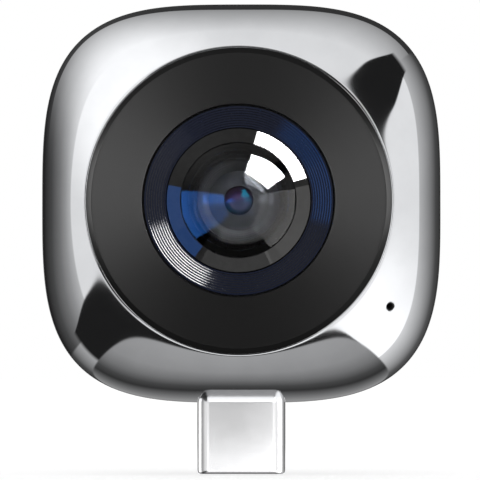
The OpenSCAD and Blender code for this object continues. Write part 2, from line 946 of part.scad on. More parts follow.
// A row of small parts across each face of the main board, below the chips
module passive_parts() {
    color("tan")
        for (side = ["front", "rear"])
            lens_frame(side)
                for (i = [0 : passive_count - 1])
                    block(
                        (i - (passive_count - 1) / 2) * passive_pitch,
                        -processor_drop - can_w / 2 - 2 * passive_l,
                        board_h,
                        [passive_w, passive_l, passive_w]
                    );
}

module mic_mesh() {
    color("#3a3a3a")
        mic_frame()
            translate([0, 0, -mesh_set - mesh_t])
                cylinder(r = mesh_r, h = mesh_t);
}

module mic_boot() {
    color("#1f1f1f")
        mic_frame()
            translate([0, 0, -mesh_set - mesh_t - boot_t])
                difference() {
                    cylinder(r = boot_r, h = boot_t);
                    translate([0, 0, -over])
                        cylinder(r = mic_hole_r, h = boot_t + 2 * over);
                }
}

module microphone() {
    color("silver")
        mic_frame()
            block(0, 0, -mesh_set - mesh_t - boot_t - mic_t, [mic_w, mic_l, mic_t]);
}

// Cross-section of the flex cable: middle of its lower face, vectors across its width and its thickness
function flex_section(middle, across, up) = [
    middle + across / 2, middle - across / 2, middle - across / 2 + up, middle + across / 2 + up
];

// Cable from under the microphone, over a knee, to its connector. Its upper and lower faces are split
// along the same diagonal, so they stay parallel where the cable twists
module mic_flex() {
    under_mic = mic_spot - mic_normal * (mesh_set + mesh_t + boot_t + mic_t + flex_t);
    on_board = [flex_end_x, -flex_end_y, board_h + flex_end_t];
    sections = [
        flex_section(under_mic - mic_along * mic_l / 2, mic_across * flex_w, mic_normal * flex_t),
        flex_section(under_mic + mic_along * mic_l / 2, mic_across * flex_w, mic_normal * flex_t),
        flex_section(on_board - [0, flex_end_l, -frame_h / 2], [flex_w, 0, 0], [0, flex_t, flex_t]),
        flex_section(on_board - [0, flex_end_w / 2, 0], [flex_w, 0, 0], [0, 0, flex_t]),
        flex_section(on_board + [0, flex_end_w / 2, 0], [flex_w, 0, 0], [0, 0, flex_t])
    ];
    m = len(sections[0]);
    last = m * (len(sections) - 1);
    sides = [
        for (i = [0 : m : last - m], j = [0 : m - 1], k = [0, 1])
            let (a = i + j, q = i + (j + 1) % m)
                j < m / 2
                    ? (k == 0 ? [a, a + m, q + m] : [a, q + m, q])
                    : (k == 0 ? [a, a + m, q] : [q, a + m, q + m])
    ];
    color("#b5762c")
        lens_frame("front")
            polyhedron(
                [for (section = sections, p = section) p],
                concat(sides, [[0, 1, 2, 3], [last + 3, last + 2, last + 1, last]])
            );
}

module mic_connector() {
    color("#202020")
        lens_frame("front")
            block(flex_end_x, -flex_end_y, board_h, [flex_end_l, flex_end_w, flex_end_t]);
}

// Outline of half of the plug's thickness along its length, with the slope at the tip
module plug_side() {
    polygon([
        [0, 0],
        [plug_t / 2 - tip_slope, 0],
        [plug_t / 2 - tip_slope * tip_knee, tip_len * tip_knee],
        [plug_t / 2, tip_len],
        [plug_t / 2, plug_end],
        [0, plug_end]
    ]);
}

module plug_shell() {
    color("gainsboro")
        difference() {
            union() {
                for (x = [-plug_half, plug_half])
                    translate([x, 0, 0])
                        rotate_extrude()
                            plug_side();
                for (s = [0, 180])
                    rotate([90, 0, 90 + s])
                        linear_extrude(2 * plug_half, center = true)
                            plug_side();
            }
            plug_prism(-plug_wall, -over, plug_end + over);
        }
}

// Slots for one row of contacts, from the tongue's side out to the shell
module contact_slots() {
    for (i = [0 : contact_count - 1])
        translate([contact_left + i * contact_pitch - slot_gap, slot_y, contact_tip - contact_w])
            cube([contact_w + 2 * slot_gap, plug_t, plug_end]);
}

module plug_insulator() {
    latch_end = spring_root + latch_plate_l + root_gap;
    color("#222222")
        difference() {
            plug_prism(-plug_wall - fit, insulator_set, plug_end);
            translate([-tongue_w / 2, -tongue_h / 2, -over])
                cube([tongue_w, tongue_h, tongue_depth + over]);
            contact_slots();
            mirror([0, 1, 0])
                contact_slots();
            for (s = [0, 1])
                mirror([s, 0, 0])
                    translate([latch_x - root_gap, -latch_w / 2 - slot_gap, latch_tip - contact_w])
                        cube([plug_w, latch_w + 2 * slot_gap, latch_end - latch_tip + contact_w]);
            translate([-latch_x, -latch_bar_t / 2 - fit, latch_end - latch_bar_w - 2 * root_gap])
                cube([2 * latch_x, latch_bar_t + 2 * fit, latch_bar_w + 2 * root_gap]);
        }
}

// One row of contact springs on the +Y side, bent in at the tips
module contact_row() {
    for (i = [0 : contact_count - 1])
        translate([contact_left + i * contact_pitch, 0, 0])
            rotate([90, 0, 90])
                linear_extrude(contact_w)
                    polygon([
                        [contact_y, contact_tip],
                        [contact_y + contact_t, contact_tip],
                        [contact_y + contact_t, spring_root],
                        [contact_y, spring_root],
                        [contact_y, contact_tip + bump_l],
                        [contact_y - bump_h, contact_tip + bump_l / 2]
                    ]);
}

module front_contacts() {
    color("gold")
        mirror([0, 1, 0])
            contact_row();
}

module rear_contacts() {
    color("gold")
        contact_row();
}

// Fixed ends of the contacts, through the insulator and onto both faces of the main board
module contact_tails() {
    color("goldenrod")
        for (s = [0, 1])
            mirror([0, s, 0])
                for (i = [0 : contact_count - 1])
                    translate([contact_left + i * contact_pitch, slot_y, spring_root + root_gap])
                        cube([contact_w, contact_t, board_low + tail_grip - spring_root - root_gap]);
}

// Fixed metal behind the latch arms: a flat at each side and a bar across
module latch_plate() {
    color("lightgray") {
        for (s = [0, 1])
            mirror([s, 0, 0])
                translate([latch_x, -latch_w / 2, spring_root + root_gap])
                    cube([latch_t, latch_w, latch_plate_l - root_gap]);
        translate([-latch_x, -latch_bar_t / 2, spring_root + latch_plate_l - latch_bar_w])
            cube([2 * latch_x, latch_bar_t, latch_bar_w]);
    }
}

// Latch arm on the +X side, with the hook that holds the phone's tongue
module latch_arm() {
    translate([0, latch_w / 2, 0])
        rotate([90, 0, 0])
            linear_extrude(latch_w)
                polygon([
                    [latch_x, latch_tip],
                    [latch_x + latch_t, latch_tip],
                    [latch_x + latch_t, spring_root],
                    [latch_x, spring_root],
                    [latch_x, latch_tip + hook_l],
                    [latch_x - hook_h, latch_tip + hook_l / 2]
                ]);
}

module left_latch() {
    color("lightgray")
        mirror([1, 0, 0])
            latch_arm();
}

module right_latch() {
    color("lightgray")
        latch_arm();
}

front_shell();
rear_shell();
lens_plate("front");  // front_plate
lens_plate("rear");  // rear_plate
plate_tape("front");  // front_plate_tape
plate_tape("rear");  // rear_plate_tape
shell_screws("front");  // front_shell_screws
shell_screws("rear");  // rear_shell_screws
groove_ring("front");  // front_groove_ring
groove_ring("rear");  // rear_groove_ring
retaining_ring("front");  // front_retaining_ring
retaining_ring("rear");  // rear_retaining_ring
dome_lens("front");  // front_dome_lens
dome_lens("rear");  // rear_dome_lens
second_lens("front");  // front_second_lens
second_lens("rear");  // rear_second_lens
third_lens("front");  // front_third_lens
third_lens("rear");  // rear_third_lens
rear_lens("front");  // front_rear_lens
rear_lens("rear");  // rear_rear_lens
barrel("front");  // front_barrel
barrel("rear");  // rear_barrel
lens_holder("front");  // front_lens_holder
lens_holder("rear");  // rear_lens_holder
lens_screws("front");  // front_lens_screws
lens_screws("rear");  // rear_lens_screws
infrared_filter("front");  // front_infrared_filter
infrared_filter("rear");  // rear_infrared_filter
image_sensor("front");  // front_image_sensor
image_sensor("rear");  // rear_image_sensor
sensor_board("front");  // front_sensor_board
sensor_board("rear");  // rear_sensor_board
board_link("front");  // front_board_link
board_link("rear");  // rear_board_link
mid_frame();
main_board();
board_screws();
processor();
shield_can();
memory_chip();
power_chip();
crystal();
passive_parts();
microphone();
mic_boot();
mic_mesh();
mic_flex();
mic_connector();
plug_shell();
plug_insulator();
front_contacts();
rear_contacts();
contact_tails();
latch_plate();
left_latch();
right_latch();
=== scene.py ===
import json
import math

import bmesh
import bpy
import numpy as np
from mathutils import Matrix, Vector

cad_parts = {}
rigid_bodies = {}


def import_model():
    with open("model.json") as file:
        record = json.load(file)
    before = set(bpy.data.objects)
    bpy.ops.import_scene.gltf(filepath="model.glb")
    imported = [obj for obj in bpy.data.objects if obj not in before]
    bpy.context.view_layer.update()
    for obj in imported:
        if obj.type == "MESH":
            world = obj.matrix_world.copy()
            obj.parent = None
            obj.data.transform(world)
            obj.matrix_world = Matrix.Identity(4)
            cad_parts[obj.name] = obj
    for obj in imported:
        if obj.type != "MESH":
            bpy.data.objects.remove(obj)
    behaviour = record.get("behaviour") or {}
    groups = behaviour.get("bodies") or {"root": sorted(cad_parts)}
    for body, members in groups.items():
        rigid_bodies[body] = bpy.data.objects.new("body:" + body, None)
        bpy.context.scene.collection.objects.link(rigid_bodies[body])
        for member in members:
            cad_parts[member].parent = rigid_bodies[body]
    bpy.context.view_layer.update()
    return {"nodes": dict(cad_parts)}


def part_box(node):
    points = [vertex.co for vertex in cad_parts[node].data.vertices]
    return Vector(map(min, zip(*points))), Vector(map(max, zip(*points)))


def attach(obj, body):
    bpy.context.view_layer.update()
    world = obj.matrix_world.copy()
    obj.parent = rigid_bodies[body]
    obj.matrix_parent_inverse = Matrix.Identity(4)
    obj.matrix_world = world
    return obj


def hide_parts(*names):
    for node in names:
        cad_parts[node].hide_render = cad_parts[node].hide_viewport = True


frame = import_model()
nodes = frame["nodes"]
scene = bpy.context.scene
mm = 0.001
sides = ("front", "rear")
print("frame:", len(nodes), "nodes")

# sizes that the frame gives, in millimetres; heights along a lens axis count from the seam
shellLow, shellHigh = (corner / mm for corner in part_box("front_shell"))
plateLow, plateHigh = (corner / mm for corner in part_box("front_plate"))
grooveLow, grooveHigh = (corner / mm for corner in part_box("front_groove_ring"))
retainerLow, retainerHigh = (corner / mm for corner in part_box("front_retaining_ring"))
domeLow, domeHigh = (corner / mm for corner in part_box("front_dome_lens"))
secondLow, secondHigh = (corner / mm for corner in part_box("front_second_lens"))
barrelLow, barrelHigh = (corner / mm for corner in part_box("front_barrel"))
plugLow, plugHigh = (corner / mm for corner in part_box("plug_shell"))
body = {"half": shellHigh.x, "middle": (plateLow.z + plateHigh.z) / 2, "rim": -shellLow.y}


# lens coordinates (right, up, out of the lens) of one side, in millimetres, to the frame in metres
def place(side, points):
    turn = {"front": [[1, 0, 0], [0, 0, -1], [0, 1, 0]], "rear": [[-1, 0, 0], [0, 0, 1], [0, 1, 0]]}
    return (points @ np.array(turn[side]).T + [0, 0, body["middle"]]) * mm


# quads between neighbours of a grid of rows by columns, closed over an edge where it wraps
def gridFaces(rows, columns, wrapRows=True, wrapColumns=True):
    i = np.arange(rows if wrapRows else rows - 1)[:, None]
    j = np.arange(columns if wrapColumns else columns - 1)
    nextI, nextJ = (i + 1) % rows, (j + 1) % columns
    corners = (i * columns + j, nextI * columns + j, nextI * columns + nextJ, i * columns + nextJ)
    return np.stack([c.ravel() for c in np.broadcast_arrays(*corners)], 1)


# a piece from points in metres and faces: doubles merged, faces outwards, smooth up to the crease angle
def makePiece(name, points, faces, look, replaced=None, crease=30):
    mesh = bpy.data.meshes.new(name)
    mesh.from_pydata(points.reshape(-1, 3).tolist(), [], faces.tolist())
    work = bmesh.new()
    work.from_mesh(mesh)
    bmesh.ops.remove_doubles(work, verts=work.verts, dist=2e-7)
    bmesh.ops.recalc_face_normals(work, faces=work.faces)
    work.to_mesh(mesh)
    work.free()
    mesh.shade_smooth()
    mesh.set_sharp_from_angle(angle=math.radians(crease))
    mesh.materials.append(look)
    piece = bpy.data.objects.new(name, mesh)
    scene.collection.objects.link(piece)
    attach(piece, "camera")
    if replaced:
        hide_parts(replaced)
    return piece


# each corner (radius, height, reach) becomes a parabola between the points that lie its reach away on both edges
def softCorners(corners, steps=5):
    corners = np.array(corners, float)
    points, reach = corners[:, :2], corners[:, 2:]
    before, after = np.roll(points, 1, 0) - points, np.roll(points, -1, 0) - points
    start = points + before * reach / np.linalg.norm(before, axis=1, keepdims=True)
    end = points + after * reach / np.linalg.norm(after, axis=1, keepdims=True)
    s = np.linspace(0, 1, steps)[None, :, None]
    curve = (1 - s) ** 2 * start[:, None] + 2 * s * (1 - s) * points[:, None] + s ** 2 * end[:, None]
    return curve.reshape(-1, 2)


# arc of a circle on the lens axis, from one radius to another: height is the middle's plus the root of R2 - r2
def axisArc(middle, curve, fromR, toR, steps):
    angle = np.linspace(math.asin(fromR / curve), math.asin(toR / curve), steps)
    return np.stack([curve * np.sin(angle), middle + curve * np.cos(angle)], 1)


# solid of revolution: the profile (r, h) turned about the lens axis, x = r cos a, y = r sin a
def turned(name, side, profile, look, replaced=None, steps=288, solid=False, crease=30):
    angle = np.linspace(0, 2 * np.pi, steps, endpoint=False)[:, None]
    r, h = profile[:, 0], profile[:, 1]
    points = np.stack(np.broadcast_arrays(r * np.cos(angle), r * np.sin(angle), h), 2)
    faces = gridFaces(steps, len(profile), True, not solid)
    return makePiece(name, place(side, points), faces, look, replaced, crease)


# a socket that takes part in sums: each operator adds its Math node, and add() makes any other node
class Wire:
    def __init__(self, tree, socket=None):
        self.tree, self.socket = tree, socket

    # a node's type, its settings (set first), then values or links of its sockets; gives one output
    def add(self, kind, settings=None, inputs=None, out=0):
        node = self.tree.nodes.new(kind)
        for key, value in (settings or {}).items():
            if key == "stops":
                for number, (where, tone) in enumerate(value):
                    stops = node.color_ramp.elements
                    stop = stops[number] if number < len(stops) else stops.new(where)
                    stop.position = where
                    stop.color = (*tone, 1) if hasattr(tone, "__len__") else (tone, tone, tone, 1)
            else:
                setattr(node, key, value)
        for key, value in (inputs or {}).items():
            if isinstance(value, Wire):
                self.tree.links.new(value.socket, node.inputs[key])
            else:
                node.inputs[key].default_value = value
        return Wire(self.tree, node.outputs[out])

    def math(self, operation, *terms):
        return self.add("ShaderNodeMath", {"operation": operation}, dict(enumerate(terms)))

    def __add__(self, other):
        return self.math("ADD", self, other)

    def __sub__(self, other):
        return self.math("SUBTRACT", self, other)

    def __rsub__(self, other):
        return self.math("SUBTRACT", other, self)

    def __mul__(self, other):
        return self.math("MULTIPLY", self, other)

    def __truediv__(self, other):
        return self.math("DIVIDE", self, other)

    def __rtruediv__(self, other):
        return self.math("DIVIDE", other, self)

    __radd__, __rmul__ = __add__, __mul__

    # 0 below low, 1 above high, eased between
    def ease(self, low, high):
        return self.add("ShaderNodeMapRange", {"interpolation_type": "SMOOTHSTEP"}, {0: self, 1: low, 2: high})

    # a colour between two, by this value
    def blend(self, low, high):
        return self.add("ShaderNodeMix", {"data_type": "RGBA"}, {0: self, 6: low, 7: high}, 2)

    def axes(self):
        node = self.add("ShaderNodeSeparateXYZ", None, {0: self}).socket.node
        return [Wire(self.tree, output) for output in node.outputs]

    # place on the piece, in millimetres
    def spot(self):
        where = self.add("ShaderNodeTexCoord", out="Object")
        return self.add("ShaderNodeVectorMath", {"operation": "SCALE"}, {0: where, "Scale": 1 / mm})

    def noise(self, size, detail=2.0, stretch=None):
        where = self.spot()
        if stretch:
            where = self.add("ShaderNodeVectorMath", {"operation": "MULTIPLY"}, {0: where, 1: stretch})
        return self.add("ShaderNodeTexNoise", None, {"Vector": where, "Scale": 1 / size, "Detail": detail})

    def bump(self, height, depth, strength=1.0):
        return self.add("ShaderNodeBump", None, {"Height": height, "Distance": depth * mm, "Strength": strength})


# a Principled finish: fixed socket values, and what drawn() gives for the sockets that vary
def newFinish(name, fixed, drawn=None):
    look = bpy.data.materials.new(name)
    look.use_nodes = True
    tree = look.node_tree
    shader = tree.nodes["Principled BSDF"]
    for key, value in fixed.items():
        shader.inputs[key].default_value = value
    for key, wire in (drawn(Wire(tree)) if drawn else {}).items():
        tree.links.new(wire.socket, shader.inputs[key])
    return look


def grey(tone):
    return (tone, tone, tone, 1)


def gloss(level):
    return {"Specular IOR Level": level}


# a finish whose colour wanders between two tones and whose roughness follows the same grain
def grained(name, low, high, rough, size, depth=0.0, stretch=None, **fixed):
    def drawn(w):
        grain = w.noise(size, 3.0, stretch)
        links = {"Base Color": grain.ease(0.3, 0.7).blend(low, high)}
        links["Roughness"] = grain * (rough[1] - rough[0]) + rough[0]
        if depth:
            links["Normal"] = w.bump(grain, depth)
        return links

    return newFinish(name, fixed, drawn)


# mirror plating: bright, with a faint haze that changes over a few millimetres
def mirrorPlating(w):
    haze = w.noise(2.5, 4.0)
    fine = w.noise(0.12, 2.0)
    return {
        "Base Color": haze.ease(0.3, 0.7).blend((0.79, 0.80, 0.82, 1), (0.82, 0.83, 0.85, 1)),
        "Roughness": 0.025 + haze * 0.02 + fine * 0.012,
    }


# bright nickel: fine lines along the plug, and a faint haze over its tone and gloss
def plugNickel(w):
    lines = w.noise(0.05, 2.0, (1, 1, 0.04))
    haze = w.noise(1.6, 3.0)
    return {
        "Base Color": haze.ease(0.3, 0.7).blend((0.84, 0.84, 0.85, 1), (0.87, 0.87, 0.88, 1)),
        "Roughness": 0.15 + lines * 0.05 + haze * 0.02,
        "Normal": w.bump(lines, 0.0006),
    }


# satin black on the turned plate: fine speckle of the etched surface
def plateSatin(w):
    speckle = w.noise(0.08, 2.0)
    cloud = w.noise(3.0, 2.0)
    return {
        "Base Color": speckle.blend((0.0035, 0.0035, 0.0037, 1), (0.0065, 0.0063, 0.0061, 1)),
        "Roughness": 0.28 + speckle * 0.05 + cloud * 0.03,
    }


# board: solder mask with copper tracks showing as lighter lines under it
def boardMask(w):
    x, _, z = w.spot().axes()
    run = w.noise(1.4, 0.0).ease(0.48, 0.52)
    perMm = 5.2  # half waves of the tracks
    across, along = (w.math("PINGPONG", axis * perMm, 1.0).ease(0.62, 0.70) for axis in (x, z))
    track = run * across + (1 - run) * along
    return {
        "Base Color": track.blend((0.008, 0.055, 0.022, 1), (0.014, 0.105, 0.040, 1)),
        "Roughness": 0.28 + w.noise(0.3) * 0.12,
        "Normal": w.bump(track, 0.02),
    }


# woven mesh: threads of two directions, each a wave across its own run
def wovenMesh(w):
    x, _, z = w.spot().axes()
    pitch = 0.16
    warp, weft = (w.math("SINE", run / pitch * 2 * math.pi) for run in (x + z, x - z))
    thread = w.math("MAXIMUM", warp, weft) * 0.5 + 0.5
    return {
        "Base Color": thread.ease(0.35, 0.9).blend(grey(0.004), grey(0.085)),
        "Roughness": 0.45 + thread * 0.2,
        "Normal": w.bump(thread, 0.03),
    }


# small fired parts: tan bodies with bright soldered ends, told apart by the place along each part
def firedParts(w):
    z = w.spot().axes()[2]
    low, high = (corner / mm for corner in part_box("passive_parts"))
    fromMiddle = w.math("ABSOLUTE", z - (low.z + high.z) / 2)
    end = (fromMiddle / (high.z - low.z)).ease(0.26, 0.30)
    return {
        "Base Color": end.blend((0.33, 0.21, 0.11, 1), (0.66, 0.66, 0.68, 1)),
        "Metallic": end,
        "Roughness": 0.45 - end * 0.2 + w.noise(0.1) * 0.1,
    }


# clear glass with a faint streak of cleaning haze in its gloss
def coatedGlass(name, tint, specular, film, ior=1.52):
    fixed = {
        "Transmission Weight": 1.0, "IOR": ior, "Specular Tint": grey(specular),
        "Thin Film Thickness": film, "Thin Film IOR": 1.38,
    }

    def drawn(w):
        cloud = w.noise(1.8, 2.0)
        return {"Base Color": cloud.blend(tint, (tint[0] * 0.97, tint[1] * 0.98, tint[2], 1)),
                "Roughness": cloud.ease(0.5, 0.9) * 0.006}

    return newFinish(name, fixed, drawn)


metal = {"Metallic": 1.0}
looks = {
    "mirror_plating": newFinish("mirror_plating", metal, mirrorPlating),
    "black_anodised": newFinish("black_anodised", gloss(0.08), plateSatin),
    "foam_tape": grained("foam_tape", grey(0.02), grey(0.05), (0.85, 0.95), 0.12, 0.03),
    "screw_steel": grained("screw_steel", grey(0.34), grey(0.46), (0.25, 0.42), 0.2, 0.004, (1, 1, 6), **metal),
    "black_satin": grained("black_satin", grey(0.004), grey(0.006), (0.08, 0.14), 0.3, **gloss(0.16)),
    "black_gloss": grained("black_gloss", grey(0.011), grey(0.015), (0.02, 0.04), 0.8, **gloss(0.14)),
    "lens_glass": coatedGlass("lens_glass", (0.93, 0.96, 1.0, 1), 0.15, 0.0),
    "green_glass": coatedGlass("green_glass", (0.95, 0.97, 1.0, 1), 0.4, 375.0, 1.62),
    "red_glass": coatedGlass("red_glass", (0.97, 0.97, 1.0, 1), 0.4, 455.0, 1.62),
    "barrel_black": grained("barrel_black", grey(0.002), grey(0.005), (0.5, 0.65), 0.3, **gloss(0.1)),
    "holder_plastic": grained("holder_plastic", grey(0.018), grey(0.032), (0.5, 0.65), 0.1, 0.006),
    "filter_glass": coatedGlass("filter_glass", (0.70, 0.88, 0.92, 1), 0.5, 420.0),
    "sensor_package": grained("sensor_package", (0.02, 0.024, 0.03, 1), (0.03, 0.036, 0.044, 1), (0.08, 0.16), 0.6),
    "board_green": newFinish("board_green", {}, boardMask),
    "connector_plastic": grained("connector_plastic", grey(0.014), grey(0.028), (0.45, 0.6), 0.1, 0.004),
    "frame_alloy": grained("frame_alloy", grey(0.42), grey(0.54), (0.42, 0.56), 0.14, 0.008, **metal),
    "chip_epoxy": grained("chip_epoxy", grey(0.018), grey(0.034), (0.55, 0.7), 0.07, 0.004),
    "can_steel": grained("can_steel", grey(0.52), grey(0.64), (0.22, 0.34), 0.35, 0.003, (8, 1, 1), **metal),
    "passive_tan": newFinish("passive_tan", {}, firedParts),
    "boot_rubber": grained("boot_rubber", grey(0.012), grey(0.022), (0.7, 0.85), 0.12, 0.006),
    "mesh_grey": newFinish("mesh_grey", {}, wovenMesh),
    "flex_amber": grained("flex_amber", (0.36, 0.13, 0.02, 1), (0.52, 0.22, 0.04, 1), (0.2, 0.34), 0.35, 0.004,
                          (1, 1, 5)),
    "plug_nickel": newFinish("plug_nickel", metal, plugNickel),
    "insulator_black": grained("insulator_black", grey(0.010), grey(0.020), (0.4, 0.55), 0.09, 0.004),
    "contact_gold": grained("contact_gold", (0.80, 0.52, 0.16, 1), (0.92, 0.66, 0.26, 1), (0.16, 0.3), 0.15, 0.002,
                            (4, 4, 1), **metal),
    "latch_steel": grained("latch_steel", grey(0.46), grey(0.6), (0.2, 0.34), 0.15, 0.002, (4, 4, 1), **metal),
}
print("finishes:", len(looks))

# every node that keeps its own solid takes the finish of its slot; {side} stands for both lenses
nodeSlots = {
    "{side}_plate_tape": "foam_tape", "{side}_shell_screws": "screw_steel",
    "{side}_rear_lens": "lens_glass", "{side}_lens_holder": "holder_plastic", "{side}_lens_screws": "screw_steel",
    "{side}_infrared_filter": "filter_glass", "{side}_image_sensor": "sensor_package",
    "{side}_sensor_board": "board_green", "{side}_board_link": "connector_plastic", "mid_frame": "frame_alloy",
    "main_board": "board_green", "board_screws": "screw_steel", "processor": "chip_epoxy", "shield_can": "can_steel",
    "memory_chip": "chip_epoxy", "power_chip": "chip_epoxy", "crystal": "can_steel", "passive_parts": "passive_tan",
    "microphone": "can_steel", "mic_boot": "boot_rubber", "mic_mesh": "mesh_grey", "mic_flex": "flex_amber",
    "mic_connector": "connector_plastic", "plug_insulator": "insulator_black", "{side}_contacts": "contact_gold",
    "contact_tails": "contact_gold", "latch_plate": "latch_steel", "left_latch": "latch_steel",
    "right_latch": "latch_steel",
}
for pattern, slotName in nodeSlots.items():
    for nodeName in sorted({pattern.format(side=side) for side in sides}):
        node = nodes[nodeName]
        node.data.materials.clear()
        node.data.materials.append(looks[slotName])
for side in sides:  # same slot as the other lenses, another coating
    node = nodes[side + "_third_lens"]
    node.data.materials.clear()
    node.data.materials.append(looks["red_glass"])
print("solids dressed")

# mirror shells: the outline is a rounded square, and the wall runs from the round opening to it on a fuller arc
shell = {
    "square": 3.4,  # power of the outline, 2 is a circle
    "full": 2.2,  # power of the curve from rim to seam, 2 is an ellipse
    "openR": plateHigh.x + 0.08,
    "wall": 1.2,
    "bevel": 0.12,
    "edge": 0.07,  # rounding of the rim
    "lip": shellHigh.y,
    "lipGap": 0.08,
    "flangeR": 10.3,
    "flangeLow": 6.4,
    "flangeHigh": 7.6,
    "flangeLap": 0.5,
    "plugGap": 0.08,
    "columns": 480,
    "outerRows": 72,
    "innerRows": 40,
}
hole = {"angle": -35.0, "out": 2.82, "radius": 0.38, "round": 0.06, "block": 4, "rings": 5}
power = 2 / shell["full"]


# distance of the outline from the lens axis in direction a: half / (|cos a|^n + |sin a|^n)^(1/n)
def outline(a):
    n = shell["square"]
    return body["half"] * (np.abs(np.cos(a)) ** n + np.abs(np.sin(a)) ** n) ** (-1 / n)


# point of the wall in direction a at angle t of its curve: radius grows with sin t, height falls with cos t
def wallPoint(a, t, inset):
    r = shell["openR"] + (outline(a) - inset - shell["openR"]) * np.sin(t) ** power
    h = (body["rim"] - inset) * np.cos(t) ** power
    return np.stack(np.broadcast_arrays(r * np.cos(a), r * np.sin(a), h), -1)


# height at which the wall is cut for the plug: the plug's outline with round ends, grown by its gap
def slotHeight(x):
    thick = plugHigh.y + shell["plugGap"]
    flat = plugHigh.x - plugHigh.y
    past = np.clip(np.abs(x) - flat, 0, None)
    return np.sqrt(np.clip(thick ** 2 - past ** 2, 0, None))


# parameters (a, t) of a circle on the wall round the hole's axis, found by repeated linear steps
def circleOnWall(centre, inset, axes, spot, across):
    step = 1e-5
    start = wallPoint(*centre, inset)
    slopes = [(wallPoint(centre[0] + step, centre[1], inset) - start) / step,
              (wallPoint(centre[0], centre[1] + step, inset) - start) / step]
    inverse = np.linalg.inv(np.array([[axis @ slope for slope in slopes] for axis in axes]))
    found = np.tile(centre, (len(across), 1))
    for _ in range(6):
        here = wallPoint(found[:, 0], found[:, 1], inset)
        miss = across - np.stack([(here - spot) @ axis for axis in axes], 1)
        found = found + miss @ inverse.T
    return found


def makeShell(side):
    columns, outerRows, innerRows = shell["columns"], shell["outerRows"], shell["innerRows"]
    step = 2 * np.pi / columns
    a = (np.arange(columns) + 0.5) * step
    column = a[:, None]
    wide = outline(a)
    edgeX = np.where(np.sin(a) < 0, wide * np.cos(a), 99.0)
    cut = slotHeight(edgeX)  # 0 away from the plug
    inSlot = cut > 0
    seamEnd = np.where(inSlot, cut, shell["bevel"])
    outerEnd = np.arccos((seamEnd / body["rim"]) ** (1 / power))
    outerStart = np.arcsin((shell["edge"] / (wide - shell["openR"])) ** (1 / power))
    t = outerStart[:, None] + (outerEnd - outerStart)[:, None] * np.linspace(0, 1, outerRows)
    outer = wallPoint(column, t, 0)
    # rounded rim, from the opening's wall to the first row of the outer curve
    s = np.linspace(0, 1, 6)[None, :-1]
    rimR = shell["openR"] + shell["edge"] * s ** 2 + 0 * column
    rimH = outer[:, :1, 2] - shell["edge"] * (1 - s) ** 2
    rim = np.stack([rimR * np.cos(column), rimR * np.sin(column), rimH], -1)

    # rows given by their inset from the outline, at a height that the plug's slot may raise
    def inRow(inset, height, straight=True):
        r = wide - inset
        x, y = r * np.cos(a), r * np.sin(a)
        if straight:
            x = np.where(inSlot, edgeX, x)
        return np.stack([x, y, np.where(inSlot, np.maximum(cut, height), height)], -1)[:, None]

    wall, lip = shell["wall"], shell["lip"]
    if side == "front":
        lipR, innerLow = wall / 2 + shell["lipGap"], 0.0
        seam = [inRow(lipR, 0.0), inRow(lipR, -lip), inRow(wall, -lip)]
    else:
        innerLow = lip + shell["lipGap"]
        seam = [inRow(wall / 2, 0.0), inRow(wall / 2, innerLow)]
    bevelRow = inRow(np.where(inSlot, 0.02, shell["bevel"]), 0.0)
    innerFrom = np.arccos((np.maximum(innerLow, cut) / (body["rim"] - wall)) ** (1 / power))
    innerTo = np.arcsin((shell["flangeLap"] / (wide - wall - shell["openR"])) ** (1 / power))
    innerT = innerFrom[:, None] + (innerTo - innerFrom)[:, None] * np.linspace(0, 1, innerRows)
    inner = wallPoint(column, innerT, wall)
    flange = [(shell["openR"] + shell["flangeLap"], shell["flangeLow"]), (shell["flangeR"], shell["flangeLow"]),
              (shell["flangeR"], shell["flangeHigh"]), (shell["openR"], shell["flangeHigh"])]
    flangeRows = [np.stack(np.broadcast_arrays(r * np.cos(a), r * np.sin(a), h), -1)[:, None] for r, h in flange]
    points = np.concatenate([rim, outer, bevelRow, *seam, inner, *flangeRows], 1)
    rows = points.shape[1]
    faces = gridFaces(columns, rows)
    points = points.reshape(-1, 3)
    if side == "front":
        starts = {"outer": rim.shape[1], "inner": rows - len(flange) - innerRows}
        points, faces = drillHole(points, faces, rows, starts, a, t, innerT)
    return makePiece(side + "_mirror_shell", place(side, points), faces, looks["mirror_plating"],
                     side + "_shell", crease=38)


# the microphone hole's axis leaves the wall square to it: its place, its direction, two directions across and angles
def holeAxis():
    angle = math.radians(hole["angle"])
    reach = outline(angle) - shell["openR"]
    t = math.asin((hole["out"] / reach) ** (1 / power))
    tilt = math.atan(body["rim"] / reach * math.tan(t) ** (2 - power))
    radial, out = np.array([math.cos(angle), math.sin(angle), 0]), np.array([0, 0, 1])
    normal = math.sin(tilt) * radial + math.cos(tilt) * out
    axes = [math.cos(tilt) * radial - math.sin(tilt) * out, np.array([-math.sin(angle), math.cos(angle), 0])]
    return wallPoint(angle, t, 0), normal, axes, angle, t


